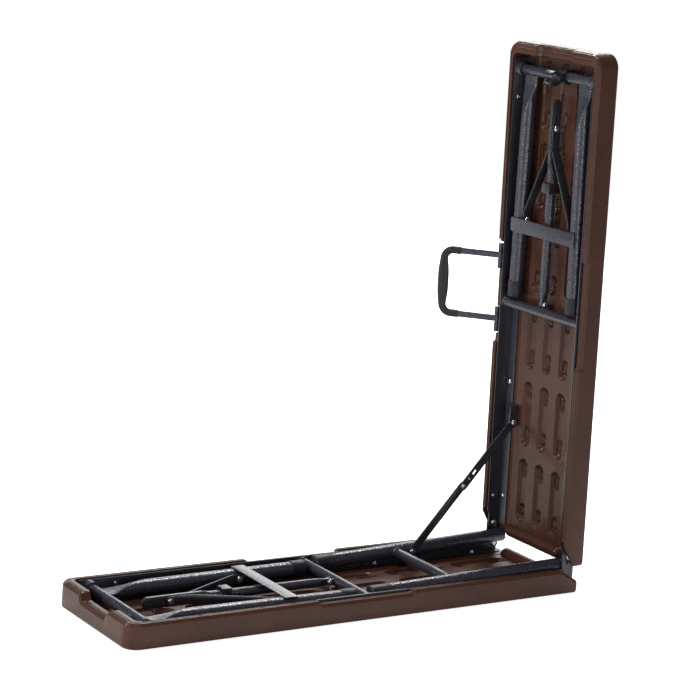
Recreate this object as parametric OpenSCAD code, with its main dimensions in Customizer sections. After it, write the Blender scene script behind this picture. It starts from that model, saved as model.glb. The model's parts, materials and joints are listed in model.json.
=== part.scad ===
// Folding bench table: two moulded halves that close like a book, steel rails, folding legs at both ends
// and a pair of centre legs whose end plates are the links of the fold. Millimetres, +Z up.
// Origin: centre of the lower half's seat face, which lies on the floor; +X runs to the fold.

/* [Panels] */
// Length of one half, fold end to outer end
half_length = 915; // [905:1:925]
// Width of the seat
seat_width = 250; // [248:1:254]
// Height of the moulded rim above the seat face
rim_height = 44; // [43.5:0.5:45]
// Thickness of the double-walled floor
floor_height = 14; // [12:0.5:14]
// Radius of the outer corners
corner_radius = 25; // [15:1:30]
// Number of groove rows in each half
groove_rows = 6; // [4:1:6]

/* [Fold] */
// Angle between the halves, 0 is flat and open
fold_angle = 92.93; // [85:0.5:100]
// Distance between the two hinge bolts on a link plate
link_length = 39.2; // [39:0.1:42]
// Hinge bolt's distance from the fold end
hinge_s = 17; // [16:0.5:18]
// Hinge bolt's height above the seat face
hinge_n = 26; // [25.5:0.5:27]

/* [Legs] */
// Diameter of the leg tubes
leg_d = 25.4; // [22:0.2:25.4]
// Length of an end leg from its pivot to the foot
leg_length = 410; // [404:1:411]
// Distance of the end leg's pivot from the fold end
leg_pivot_s = 866; // [864:1:868]
// Diameter of the cross tubes
cross_d = 18; // [16:0.5:18]
// Length of the centre legs from the link plates to the foot
centre_length = 414; // [408:1:414]

/* [Handle] */
// Distance from the handle's pivot to the middle of its grip
handle_reach = 102; // [90:1:110]
// Swing of the handle above the seat's plane
handle_swing = 37; // [0:1:50]

/* [Hidden] */

plastic = "#5a4238";
steel = "#6b6b76";
zinc = "#c9ccd2";
black_plastic = "#26262a";

$fn = 48;
play = 0.05;             // radial running clearance of every pivot
half_w = seat_width / 2;
end_rim = 23;            // width of the rim at the outer end
wall_y = 110.5;          // inner face of the side rims
end_wall_s = half_length - end_rim;

web_y = 107.7;           // inboard face of the rails' upright web
web_t = 2;
rail_bottom = floor_height + 0.2;
rail_top = 42;
flange_y = 87;           // inboard edge of the rails' flange
rail_end_s = 884;

leg_n = 30;              // height of the folded end legs' centre line
leg_r = leg_d / 2;
cross_r = cross_d / 2;
cross_s = 442;           // fixed cross tube whose ears carry the strut
leg_pivot_y = 75;        // end legs' distance from the middle, at the pivot and at the foot
leg_foot_y = 82;
cap_r = leg_r + 1.2;
cap_length = 30;
tube_wall = 1.3;

strut_s = cross_s + 15.5;  // pin that carries the strut
yoke_s = 600;            // bolt between yoke and leg
// Rivet between yoke and strut, placed so that the two are in line when the leg stands upright
joint_s = (strut_s + yoke_s + norm([leg_pivot_s - strut_s, leg_pivot_s - yoke_s])) / 2;
taper_s = joint_s - 78;  // where the strut's tube starts to flatten into its tongue
tongue_s = 824;          // free end of the strut's tongue
tongue_h = 20;
strut_r = 8;
ear_y = 3.3;             // inboard face of the ears that hold the pin
ear_t = 2.5;
plate_t = 2.5;
yoke_h = 17;
yoke_leg_y = 60.5;

link_r = 13;             // end radius of a link plate
link_y = 110.1;          // inboard face of the link plates
link_t = 2.5;
pin_r = 3;
centre_pivot_y = 94;     // centre legs' distance from the middle, at the link and at the foot
centre_foot_y = 88;
centre_lean = 1.13;      // lean of the centre legs towards the upper half
centre_stub = 9;         // length of tube past the link plates' middle
centre_cross = 240;      // cross tube's distance from the link plates
stay_on_leg = 208;       // stay rivet's distance from the link plates
stay_s = 220;            // stay rivet on the lug of the upper half
stay_n = 24;
stay_y = 72;             // inboard face of the stay's upper bar
stay_gap = 0.4;
stay_w = 16;

handle_y = 121.5;
handle_n = 38;
handle_s = [407, 525];
latch_y = -30;
latch_w = 22;

// Points in the fold's plane as [x, z]
function turned(p, a) = [p[0] * cos(a) - p[1] * sin(a), p[0] * sin(a) + p[1] * cos(a)];
lower_pin = [half_length / 2 - hinge_s, hinge_n];
upper_pin = lower_pin + turned([link_length, 0], fold_angle);
upper_corner = upper_pin - turned([hinge_s, hinge_n], fold_angle);
leg_stay_point = lower_pin
    + turned([link_length / 2 + stay_on_leg * sin(centre_lean), stay_on_leg * cos(centre_lean)], fold_angle);
lug_stay_point = upper_corner + turned([stay_s, stay_n], fold_angle);
stay_vector = lug_stay_point - leg_stay_point;
stay_angle = atan2(stay_vector[1], stay_vector[0]);
stay_length = norm(stay_vector) / 2;
// From the upper pivot tube to the lower one when the halves are closed on each other
link_vector = turned([link_length, 0], fold_angle);
latch_vector = [link_vector[0], link_vector[1] - 2 * (leg_n - hinge_n)];
latch_reach = norm(latch_vector);
latch_tilt = atan2(-latch_vector[0], latch_vector[1]);

// ---------- placing ----------
// Each half is drawn in its own frame: s from the fold end, y across, n up from the seat face.
module on_lower() translate([half_length / 2, 0, 0]) rotate([0, 0, 180]) children();
module on_upper() translate([upper_corner[0], 0, upper_corner[1]]) rotate([0, -fold_angle, 0]) children();
// The centre legs' frame: x along the link plates, z along the legs.
module on_centre() translate([lower_pin[0], 0, lower_pin[1]]) rotate([0, -fold_angle, 0]) children();
module on_stay(p) translate([p[0], 0, p[1]]) rotate([0, -stay_angle, 0]) children();

// ---------- shared shapes ----------
module across(r, y0, y1) translate([0, y1, 0]) rotate([90, 0, 0]) cylinder(r = r, h = y1 - y0);
module box(a, b) translate(a) cube(b - a);
module both_sides() { children(); mirror([0, 1, 0]) children(); }
module upright(y0, t) translate([0, y0 + t, 0]) rotate([90, 0, 0]) linear_extrude(t) children();
module bar(length, w, y0, t) upright(y0, t) {
    circle(r = w / 2);
    translate([length, 0]) circle(r = w / 2);
    translate([0, -w / 2]) square([length, w]);
}
module dome_head(r, h, y0, out) translate([0, y0, 0]) rotate([out ? -90 : 90, 0, 0])
    cylinder(r1 = r, r2 = r * 0.72, h = h);
module cross_tube(s, n, reach) translate([s, 0, n]) difference() {
    across(cross_r, -reach, reach);
    across(cross_r - tube_wall, -reach - 1, reach + 1);
}

// ---------- panel ----------
module panel_outline() {
    translate([0, -half_w]) square([half_length - corner_radius, seat_width]);
    translate([0, -half_w + corner_radius]) square([half_length, seat_width - 2 * corner_radius]);
    for (side = [-1, 1])
        translate([half_length - corner_radius, side * (half_w - corner_radius)]) circle(r = corner_radius);
}
module groove(s, y) translate([s, y, floor_height - 7]) {
    length = 122;
    r = 12;
    translate([r, -r, 0]) cube([length - 2 * r, 2 * r, 10]);
    for (x = [r, length - r]) translate([x, 0, 0]) cylinder(r = r, h = 10);
}
module rim_steps() {
    for (side = [-1, 1]) translate([367, side > 0 ? wall_y - 1 : -half_w - 1, rim_height - 5.5])
        cube([185, half_w - wall_y + 2, 10]);
}
module fold_end_slope() upright(-half_w - 1, seat_width + 2)
    polygon([[-1, 20.4], [0, 21], [40, rim_height], [40, rim_height + 1], [-1, rim_height + 1]]);
module hand_notch() translate([end_wall_s - 2, 0, 0]) rotate([90, 0, 90]) linear_extrude(end_rim + 3)
    polygon([[-54, rim_height + 1], [-52, rim_height], [-38, 30], [38, 30], [52, rim_height], [54, rim_height + 1]]);
module link_pockets() both_sides() box([-1, wall_y - 2, 12.5], [46, 116, rim_height + 1]);
module panel() difference() {
    union() {
        difference() {
            linear_extrude(rim_height) panel_outline();
            box([-1, -wall_y, floor_height], [end_wall_s, wall_y, rim_height + 1]);
            rim_steps();
            fold_end_slope();
            hand_notch();
            for (row = [0:groove_rows - 1], y = [-47, 0, 47]) groove(34 + 146 * row, y);
        }
        translate([11.8, 0, 14.8]) across(11.5, -80, 80);
    }
    link_pockets();
}
module handle_pockets() for (s = [380, 500]) box([s, wall_y - 1, 31.8], [s + 50, half_w + 1, rim_height]);
module lower_panel() color(plastic) on_lower() panel();
module upper_panel() color(plastic) on_upper() difference() { panel(); handle_pockets(); }

// ---------- rails ----------
module rail_web() difference() {
    union() {
        translate([hinge_s, hinge_n]) circle(r = 11.8);
        translate([hinge_s, rail_bottom]) square([20, 37.8 - rail_bottom]);
        polygon([[36, rail_bottom], [36, 37.8], [44, rail_top], [rail_end_s, rail_top], [rail_end_s, rail_bottom]]);
    }
    translate([hinge_s, hinge_n]) circle(r = pin_r);
}
module rail() {
    upright(web_y, web_t) rail_web();
    box([16, flange_y, rail_bottom], [rail_end_s, web_y + web_t, rail_bottom + 2]);
}
module screws() {
    for (s = [71, 290, 500, 700, 815]) translate([s, 99, rail_bottom + 2]) {
        cylinder(r1 = 4.6, r2 = 3, h = 2.4);
        translate([0, 0, -7]) cylinder(r = 2, h = 7);
    }
    for (s = [71, 815]) translate([s, 0, 31]) dome_head(3.6, 1.9, web_y, false);
}
module hinge_bolt() translate([hinge_s, 0, hinge_n]) {
    across(pin_r, web_y - 1, link_y + link_t + 1);
    dome_head(6, 3, web_y, false);
    dome_head(5.5, 2.6, link_y + link_t + 0.2, true);
}
module bush(s) translate([s, 0, leg_n]) difference() {
    across(12.4, 94, web_y);
    across(cross_r + play, 93, web_y + 1);
}
module fixed_cross_tube() {
    cross_tube(cross_s, leg_n, web_y);
    translate([cross_s, 0, leg_n]) both_sides() difference() {
        across(11.2, 103, web_y);
        across(cross_r, 102, web_y + 1);
    }
    both_sides() difference() {
        translate([strut_s, 0, leg_n]) upright(ear_y, ear_t) {
            circle(r = 5.6);
            translate([cross_s - strut_s, -5.6]) square([strut_s - cross_s, 11.2]);
        }
        translate([cross_s, 0, leg_n]) across(cross_r - 0.5, 0, 20);
        translate([strut_s, 0, leg_n]) across(pin_r, 0, 20);
    }
}
module strut_pin() translate([strut_s, 0, leg_n]) {
    across(pin_r, -ear_y - ear_t, ear_y + ear_t);
    both_sides() dome_head(5, 2.2, ear_y + ear_t, true);
}
module lower_rail_near() color(steel) on_lower() rail();
module lower_rail_far() color(steel) on_lower() mirror([0, 1, 0]) rail();
module lower_screws() color(zinc) on_lower() both_sides() screws();
module lower_hinge_bolts() color(zinc) on_lower() both_sides() hinge_bolt();
module lower_bushes() color(steel) on_lower() both_sides() bush(leg_pivot_s);
module lower_cross_tube() color(steel) on_lower() fixed_cross_tube();
module lower_strut_pin() color(zinc) on_lower() strut_pin();
module upper_rail_near() color(steel) on_upper() mirror([0, 1, 0]) rail();
module upper_rail_far() color(steel) on_upper() rail();
module upper_screws() color(zinc) on_upper() both_sides() screws();
module upper_hinge_bolts() color(zinc) on_upper() both_sides() hinge_bolt();
module upper_bushes() color(steel) on_upper() both_sides() bush(leg_pivot_s);
module upper_cross_tube() color(steel) on_upper() fixed_cross_tube();
module upper_strut_pin() color(zinc) on_upper() strut_pin();

// ---------- end legs ----------
module along_leg() translate([leg_pivot_s, leg_pivot_y, leg_n])
    rotate([0, 0, -atan2(leg_foot_y - leg_pivot_y, leg_length)]) children();
module lying_tube(r, x0, x1) translate([x1, 0, 0]) rotate([0, -90, 0]) cylinder(r = r, h = x0 < x1 ? x1 - x0 : 0);
module leg() along_leg() {
    difference() {
        lying_tube(leg_r, -leg_length + 3, -96);
        lying_tube(leg_r - tube_wall, -leg_length + 2, -97);
    }
    hull() {
        translate([-97.5, 0, 0]) rotate([0, -90, 0]) cylinder(r = leg_r - 0.2, h = 1, $fn = 32);
        box([-16, -17, -4.5], [-cross_r + 1, 17, 0.5]);
    }
}
module feet() both_sides() along_leg() difference() {
    lying_tube(cap_r, -leg_length, -leg_length + cap_length);
    lying_tube(leg_r, -leg_length + 3, -leg_length + cap_length + 1);
}
module pivot_tube() cross_tube(leg_pivot_s, leg_n, web_y - 0.4);
module strap() box([577, -89, leg_n + leg_r + 0.1], [602, 89, leg_n + leg_r + 2.1]);
module lower_pivot_tube() color(steel) on_lower() pivot_tube();
module lower_leg_near() color(steel) on_lower() leg();
module lower_leg_far() color(steel) on_lower() mirror([0, 1, 0]) leg();
module lower_feet() color(black_plastic) on_lower() feet();
module lower_strap() color(steel) on_lower() strap();
module upper_pivot_tube() color(steel) on_upper() pivot_tube();
module upper_leg_near() color(steel) on_upper() mirror([0, 1, 0]) leg();
module upper_leg_far() color(steel) on_upper() leg();
module upper_feet() color(black_plastic) on_upper() feet();
module upper_strap() color(steel) on_upper() strap();

// ---------- strut, lock ring and yoke ----------
module strut() translate([0, 0, leg_n]) difference() {
    union() {
        translate([strut_s, 0, 0]) across(5.6, -2.8, 2.8);
        translate([strut_s, -2.8, -5.6]) cube([14, 5.6, 11.2]);
        hull() {
            translate([strut_s + 10, -2.8, -5.6]) cube([1, 5.6, 11.2]);
            translate([strut_s + 25, 0, 0]) rotate([0, 90, 0]) cylinder(r = strut_r - 0.1, h = 1, $fn = 32);
        }
        translate([strut_s + 24, 0, 0]) rotate([0, 90, 0]) cylinder(r = strut_r, h = taper_s + 2 - strut_s - 24);
        hull() {
            translate([taper_s, 0, 0]) rotate([0, 90, 0]) cylinder(r = strut_r - 0.1, h = 1, $fn = 32);
            translate([taper_s + 18, -2.5, -tongue_h / 2]) cube([1, 5, tongue_h]);
        }
        translate([taper_s + 18.5, -2.5, -tongue_h / 2])
            cube([tongue_s - taper_s - 18.5 - tongue_h / 2, 5, tongue_h]);
        translate([tongue_s - tongue_h / 2, 0, 0]) across(tongue_h / 2, -2.5, 2.5);
    }
    translate([strut_s, 0, 0]) across(pin_r + play, -9, 9);
    translate([joint_s, 0, 0]) across(pin_r + play, -3, 3);
}
module lock_ring() translate([658, 0, leg_n]) difference() {
    box([0, -10.2, -12.6], [18, 10.2, 12.6]);
    box([-1, -8.3, -10.7], [19, 8.3, 10.7]);
}
module yoke_side() translate([0, 0, leg_n]) {
    foot_y = yoke_leg_y;
    tip_y = 2.9;
    difference() {
        intersection() {
            translate([0, 0, -yoke_h]) linear_extrude(2 * yoke_h) polygon([
                [joint_s + 12, tip_y], [joint_s - 36, tip_y], [yoke_s + 16, foot_y], [yoke_s - 11, foot_y],
                [yoke_s - 11, foot_y + plate_t], [yoke_s + 16, foot_y + plate_t],
                [joint_s - 36, tip_y + plate_t], [joint_s + 12, tip_y + plate_t]]);
            translate([yoke_s, 0, 0]) bar(joint_s - yoke_s, yoke_h, 0, half_w);
        }
        translate([yoke_s, 0, 0]) across(pin_r + play, 50, 70);
        translate([joint_s, 0, 0]) across(pin_r, 0, 10);
    }
}
// The strut has clearance at its rivet, so the rivet is two heads with short shanks in the yoke's sides.
module yoke_rivets() translate([joint_s, 0, leg_n]) both_sides() {
    across(pin_r, 3, 6);
    dome_head(5.5, 2.4, 5.4, true);
}
module leg_bolts() translate([yoke_s, 0, leg_n]) both_sides() {
    across(pin_r, yoke_leg_y - 1, 68);
    dome_head(5.5, 2.8, yoke_leg_y - 0.2, false);
    across(5.5, yoke_leg_y + plate_t + 0.2, 67.6);
}
module lower_strut() color(steel) on_lower() strut();
module lower_lock_ring() color(steel) on_lower() lock_ring();
module lower_yoke_near() color(steel) on_lower() yoke_side();
module lower_yoke_far() color(steel) on_lower() mirror([0, 1, 0]) yoke_side();
module lower_yoke_rivets() color(zinc) on_lower() yoke_rivets();
module lower_leg_bolts() color(zinc) on_lower() leg_bolts();
module upper_strut() color(steel) on_upper() strut();
module upper_lock_ring() color(steel) on_upper() lock_ring();
module upper_yoke_near() color(steel) on_upper() mirror([0, 1, 0]) yoke_side();
module upper_yoke_far() color(steel) on_upper() yoke_side();
module upper_yoke_rivets() color(zinc) on_upper() yoke_rivets();
module upper_leg_bolts() color(zinc) on_upper() leg_bolts();

// ---------- centre legs ----------
module link_plate() difference() {
    bar(link_length, 2 * link_r, link_y, link_t);
    for (x = [0, link_length]) translate([x, 0, 0]) across(pin_r + play, link_y - 1, link_y + link_t + 1);
}
module along_centre_leg() translate([link_length / 2, centre_pivot_y, 0]) rotate([0, centre_lean, 0])
    rotate([atan2(centre_pivot_y - centre_foot_y, centre_length), 0, 0]) children();
module centre_leg() {
    along_centre_leg() difference() {
        translate([0, 0, -centre_stub]) cylinder(r = leg_r, h = centre_length + centre_stub - 3);
        translate([0, 0, -centre_stub - 1]) cylinder(r = leg_r - tube_wall, h = centre_length + centre_stub);
    }
    translate([link_length / 2, 0, 0]) across(5.5, centre_pivot_y + leg_r - 1, link_y);
}
module centre_feet() color(black_plastic) on_centre() both_sides() along_centre_leg() difference() {
    translate([0, 0, centre_length - 40]) cylinder(r = cap_r, h = 40);
    translate([0, 0, centre_length - 41]) cylinder(r = leg_r, h = 38);
}
module centre_cross_tube() color(steel) on_centre()
    translate([link_length / 2, 0, 0]) rotate([0, centre_lean, 0]) translate([0, 0, centre_cross]) difference() {
        across(cross_r, -77.9, 77.9);
        across(cross_r - tube_wall, -80, 80);
    }
module centre_bolts() color(zinc) on_centre() {
    translate([link_length / 2, 0, 0]) rotate([0, centre_lean, 0]) translate([0, 0, stay_on_leg]) {
        across(pin_r, stay_y + 0.6, 80);
        translate([0, stay_y + 2.5, 0]) rotate([90, 0, 0]) cylinder(r1 = 5.5, r2 = 4, h = 2.4);
        across(pin_r, -80, -77);
        dome_head(5.5, 2.6, -78.3, true);
    }
}
module centre_link_near() color(steel) on_centre() mirror([0, 1, 0]) link_plate();
module centre_link_far() color(steel) on_centre() link_plate();
module centre_leg_near() color(steel) on_centre() mirror([0, 1, 0]) centre_leg();
module centre_leg_far() color(steel) on_centre() centre_leg();

// ---------- stay ----------
lower_bar_y = stay_y + plate_t + stay_gap;
lug_y = stay_y - stay_gap - plate_t;
module stay_lug() color(steel) on_upper() difference() {
    union() {
        upright(lug_y, plate_t) {
            translate([stay_s, stay_n]) circle(r = 10);
            translate([stay_s, stay_n - 7.8]) square([32, 17.8]);
        }
        box([stay_s + 12, lug_y, 16.2], [stay_s + 32, 98, 18.2]);
    }
    translate([stay_s, 0, stay_n]) across(pin_r, lug_y - 1, lug_y + plate_t + 1);
}
module stay_lug_rivet() color(zinc) on_upper() translate([stay_s, 0, stay_n]) {
    across(pin_r, lug_y - 0.5, stay_y + plate_t + 0.5);
    dome_head(5.5, 2.6, lug_y, false);
    dome_head(5, 1.2, stay_y + plate_t + 0.4, true);
}
module stay_upper_bar() color(steel) on_stay(leg_stay_point) difference() {
    translate([stay_length, 0, 0]) bar(stay_length, stay_w, stay_y, plate_t);
    translate([2 * stay_length, 0, 0]) across(pin_r + play, stay_y - 1, stay_y + 5);
    translate([stay_length, 0, 0]) across(pin_r, stay_y - 1, stay_y + 5);
    translate([stay_length + 31, 0, 0]) bar(5, 5, stay_y - 1, plate_t + 2);
}
module stay_middle_rivet() color(zinc) on_stay(leg_stay_point) {
    translate([stay_length, 0, 0]) across(pin_r, stay_y - 0.5, stay_y + plate_t + 0.1);
    translate([stay_length, 0, 0]) dome_head(5.5, 2.6, stay_y, false);
    translate([stay_length + 18, 0, 0]) dome_head(3, 1.6, stay_y, false);
}
module stay_lower_bar() color(steel) on_stay(leg_stay_point) difference() {
    bar(stay_length, stay_w, lower_bar_y, plate_t);
    across(pin_r + play, lower_bar_y - 1, lower_bar_y + plate_t + 1);
}

// ---------- handle ----------
module on_handle() on_upper() translate([0, handle_y, handle_n]) rotate([handle_swing, 0, 0]) children();
module knuckle(s0, s1, r) translate([s0, 0, 0]) rotate([0, 90, 0]) cylinder(r = r, h = s1 - s0);
module handle_brackets() color(steel) on_upper() for (s = handle_s) {
    translate([0, handle_y, handle_n]) {
        knuckle(s - 24, s - 7.2, 4.6);
        knuckle(s + 7.2, s + 22, 4.6);
        knuckle(s - 10, s + 10, 2.4);
    }
    box([s - 24, wall_y - 0.7, 32], [s + 22, handle_y + 2, 33.6]);
}
module handle_bail() color(steel) on_handle() for (s = handle_s) difference() {
    union() {
        knuckle(s - 6.8, s + 6.8, 3.9);
        box([s - 6.5, 0, -2], [s + 6.5, handle_reach - 2, 2]);
    }
    knuckle(s - 8, s + 8, 2.4 + play);
}
module handle_grip() color(black_plastic) on_handle() difference() {
    hull() for (s = [handle_s[0] + 5, handle_s[1] - 5], y = [handle_reach - 2, handle_reach + 4])
        translate([s, y, 0]) cylinder(r = 11.5, h = 10, center = true, $fn = 32);
    for (s = handle_s) box([s - 6.5, handle_reach - 20, -2], [s + 6.5, handle_reach - 2, 2]);
}

// ---------- latch ----------
// A snap clip: its closed eye turns on the upper pivot tube, its open mouth snaps onto the lower one.
module closing_latch() color(black_plastic) on_upper() translate([leg_pivot_s, 0, leg_n])
    rotate([0, -latch_tilt, 0]) upright(latch_y, latch_w) difference() {
        union() {
            circle(r = 13.4);
            translate([0, latch_reach]) circle(r = 13.2);
            translate([-7, 0]) square([14, latch_reach]);
        }
        circle(r = cross_r + play);
        translate([0, latch_reach]) circle(r = cross_r + 0.8);
        translate([-7, latch_reach]) square([14, 20]);
    }

lower_panel();
lower_rail_near();
lower_rail_far();
lower_screws();
lower_hinge_bolts();
lower_bushes();
lower_cross_tube();
lower_strut_pin();
lower_pivot_tube();
lower_leg_near();
lower_leg_far();
lower_feet();
lower_strap();
lower_strut();
lower_lock_ring();
lower_yoke_near();
lower_yoke_far();
lower_yoke_rivets();
lower_leg_bolts();
upper_panel();
upper_rail_near();
upper_rail_far();
upper_screws();
upper_hinge_bolts();
upper_bushes();
upper_cross_tube();
upper_strut_pin();
upper_pivot_tube();
upper_leg_near();
upper_leg_far();
upper_feet();
upper_strap();
upper_strut();
upper_lock_ring();
upper_yoke_near();
upper_yoke_far();
upper_yoke_rivets();
upper_leg_bolts();
centre_link_near();
centre_link_far();
centre_leg_near();
centre_leg_far();
centre_cross_tube();
centre_feet();
centre_bolts();
stay_lug();
stay_lug_rivet();
stay_upper_bar();
stay_middle_rivet();
stay_lower_bar();
handle_brackets();
handle_bail();
handle_grip();
closing_latch();
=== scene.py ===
"""Looks for the folding bench table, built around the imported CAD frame.

Each half has its own frame in millimetres: s from the fold end to the outer end, y across, and n up from the
seat face.
"""

import json
import math

import bmesh
import bpy
import numpy as np
from mathutils import Matrix, Vector


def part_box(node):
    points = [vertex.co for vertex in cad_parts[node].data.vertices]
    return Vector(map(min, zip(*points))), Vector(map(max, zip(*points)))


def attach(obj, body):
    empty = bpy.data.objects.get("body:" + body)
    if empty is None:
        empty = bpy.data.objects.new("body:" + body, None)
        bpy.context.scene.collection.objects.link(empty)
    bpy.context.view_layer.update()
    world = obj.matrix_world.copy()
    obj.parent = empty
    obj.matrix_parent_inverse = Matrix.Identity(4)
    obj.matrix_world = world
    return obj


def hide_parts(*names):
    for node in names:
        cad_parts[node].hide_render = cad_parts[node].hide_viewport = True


MM = 0.001
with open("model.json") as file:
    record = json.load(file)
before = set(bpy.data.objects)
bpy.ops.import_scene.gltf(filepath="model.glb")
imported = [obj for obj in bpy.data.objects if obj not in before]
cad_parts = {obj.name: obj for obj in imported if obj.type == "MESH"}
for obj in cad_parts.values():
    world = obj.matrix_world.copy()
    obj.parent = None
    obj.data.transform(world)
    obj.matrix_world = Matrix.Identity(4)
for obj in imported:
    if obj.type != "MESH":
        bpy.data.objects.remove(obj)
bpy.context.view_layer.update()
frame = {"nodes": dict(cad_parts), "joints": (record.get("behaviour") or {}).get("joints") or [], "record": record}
joints = {j["name"]: j for j in frame["joints"]}


# ---------- the object's own sizes, in millimetres ----------
panel_low, panel_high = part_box("lower_panel")
HALF_LENGTH = (panel_high.x - panel_low.x) / MM
HALF_WIDTH = (panel_high.y - panel_low.y) / MM / 2
RIM = panel_high.z / MM
FLOOR = 14.0                 # tray floor over the seat face
WALL_Y = 110.5               # inner face of the side rims
POCKET_Y = 116.0             # the same beside the link plates
POCKET_S = (46.0, 50.0)      # where the link pockets end
END_WALL = HALF_LENGTH - 23  # inner face of the rim at the outer end
TRAY_CORNER = 10.0
OUTER_CORNER = 25.0
FOLD_CORNER = 5.0
HINGE_S, HINGE_N = 17.0, 26.0
LEG_R = 12.7
FOOT_LENGTH = 30.0


# ---------- frames ----------
def axes_matrix(origin, along, across):
    """From millimetres along two directions, and along the one square to both, to the CAD frame's metres."""
    along, across = Vector(along), Vector(across)
    up = along.cross(across)
    turn = Matrix((along, across, up)).transposed().to_4x4()
    return Matrix.Translation(origin) @ turn @ Matrix.Scale(MM, 4)


def half_matrix(hinge, along, across):
    """A half's frame, from its hinge bolt, which is at s = HINGE_S and n = HINGE_N."""
    at_hinge = axes_matrix(Vector(joints[hinge]["pos_m"]), along, across)
    return at_hinge @ Matrix.Translation((-HINGE_S, 0, -HINGE_N))


RISE = Vector(joints["handle_swing"]["axis"])     # the handle swings about the upper half's length
LOWER = half_matrix("fold_lower", (-1, 0, 0), (0, -1, 0))
UPPER = half_matrix("fold_upper", RISE, (0, 1, 0))
CENTRE = axes_matrix(Vector(joints["fold_lower"]["pos_m"]), RISE, (0, 1, 0))
HALVES = {"lower": LOWER, "upper": UPPER}


# ---------- materials ----------
BROWN = (0.042, 0.0150, 0.0082), (0.066, 0.0252, 0.0148)      # dark and light tone of each look
HAMMERED = (0.012, 0.012, 0.018), (0.054, 0.054, 0.076)
SMOOTH_COAT = (0.014, 0.0145, 0.020), (0.034, 0.035, 0.047)
ZINC = (0.42, 0.43, 0.45), (0.72, 0.74, 0.78)
BLACK = (0.007, 0.007, 0.010), (0.015, 0.015, 0.021)
SWEEP = (0.90, 0.90, 0.90), (0.91, 0.91, 0.91)


def nodes_of(name):
    """A new material, its node tree and its shader."""
    material = bpy.data.materials.new(name)
    material.use_nodes = True
    tree = material.node_tree
    return material, tree, tree.nodes["Principled BSDF"]


def texture(tree, kind, scale, **sockets):
    """A procedural texture on the piece's own coordinates, in features per metre."""
    coordinates = tree.nodes.new("ShaderNodeTexCoord")
    node = tree.nodes.new(kind)
    tree.links.new(coordinates.outputs["Object"], node.inputs["Vector"])
    node.inputs["Scale"].default_value = scale
    for socket, value in sockets.items():
        node.inputs[socket].default_value = value
    return node


def colour_ramp(tree, factor, *stops):
    """Runs between two (place, colour) stops."""
    ramp = tree.nodes.new("ShaderNodeValToRGB")
    tree.links.new(factor, ramp.inputs["Fac"])
    for element, (place, colour) in zip(ramp.color_ramp.elements, stops):
        element.position = place
        element.color = (*colour, 1)
    return ramp.outputs["Color"]


def bump(tree, height, strength, distance, below=None):
    """A bump, on top of the one below if there is one."""
    node = tree.nodes.new("ShaderNodeBump")
    node.inputs["Strength"].default_value = strength
    node.inputs["Distance"].default_value = distance
    tree.links.new(height, node.inputs["Height"])
    if below:
        tree.links.new(below, node.inputs["Normal"])
    return node.outputs["Normal"]


def spread(tree, value, low, high):
    """A value from 0 to 1, spread from low to high."""
    node = tree.nodes.new("ShaderNodeMapRange")
    node.inputs["To Min"].default_value = low
    node.inputs["To Max"].default_value = high
    tree.links.new(value, node.inputs["Value"])
    return node.outputs["Result"]


def blend_of(tree, first, second, share):
    """The first value with a share of the second mixed in."""
    node = tree.nodes.new("ShaderNodeMix")
    node.inputs["Factor"].default_value = share
    tree.links.new(first, node.inputs["A"])
    tree.links.new(second, node.inputs["B"])
    return node.outputs["Result"]


def moulded_plastic():
    """Brown polyethylene with a fine leathery grain, faint colour drift and rubbed, shinier patches."""
    material, tree, shader = nodes_of("panel_plastic")
    drift = texture(tree, "ShaderNodeTexNoise", 9.0, Detail=4.0)
    grain = texture(tree, "ShaderNodeTexVoronoi", 400.0)
    fine = texture(tree, "ShaderNodeTexNoise", 1500.0, Detail=2.0)
    rubbed = texture(tree, "ShaderNodeTexNoise", 38.0, Detail=5.0)
    speckle = texture(tree, "ShaderNodeTexNoise", 430.0, Detail=3.0)
    mottle = blend_of(tree, drift.outputs["Fac"], speckle.outputs["Fac"], 0.6)
    colour = colour_ramp(tree, mottle, (0.36, BROWN[0]), (0.64, BROWN[1]))
    tree.links.new(colour, shader.inputs["Base Color"])
    tree.links.new(spread(tree, rubbed.outputs["Fac"], 0.22, 0.44), shader.inputs["Roughness"])
    normal = bump(tree, grain.outputs["Distance"], 0.6, 0.0008)
    normal = bump(tree, fine.outputs["Fac"], 0.15, 0.0002, normal)
    tree.links.new(normal, shader.inputs["Normal"])
    shader.inputs["Specular IOR Level"].default_value = 0.17
    shader.inputs["Coat Weight"].default_value = 0.16
    shader.inputs["Coat Roughness"].default_value = 0.07
    return material


def painted_steel(name, tones, cells, dimple_depth, rough):
    """Blue-black powder coat with small dimples: cells is their number in a metre."""
    material, tree, shader = nodes_of(name)
    dimples = texture(tree, "ShaderNodeTexVoronoi", cells, Randomness=0.95)
    dimples.feature = "SMOOTH_F1"
    speckle = texture(tree, "ShaderNodeTexNoise", cells * 1.25, Detail=3.0)
    cloud = texture(tree, "ShaderNodeTexNoise", 22.0, Detail=3.0)
    colour = colour_ramp(tree, speckle.outputs["Fac"], (0.4, tones[0]), (0.66, tones[1]))
    tree.links.new(colour, shader.inputs["Base Color"])
    tree.links.new(spread(tree, cloud.outputs["Fac"], rough - 0.06, rough + 0.1), shader.inputs["Roughness"])
    normal = bump(tree, dimples.outputs["Distance"], 0.8, dimple_depth)
    normal = bump(tree, speckle.outputs["Fac"], 0.3, dimple_depth * 0.5, normal)
    tree.links.new(normal, shader.inputs["Normal"])
    shader.inputs["Metallic"].default_value = 0.2
    shader.inputs["Specular IOR Level"].default_value = 0.6
    return material


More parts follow.
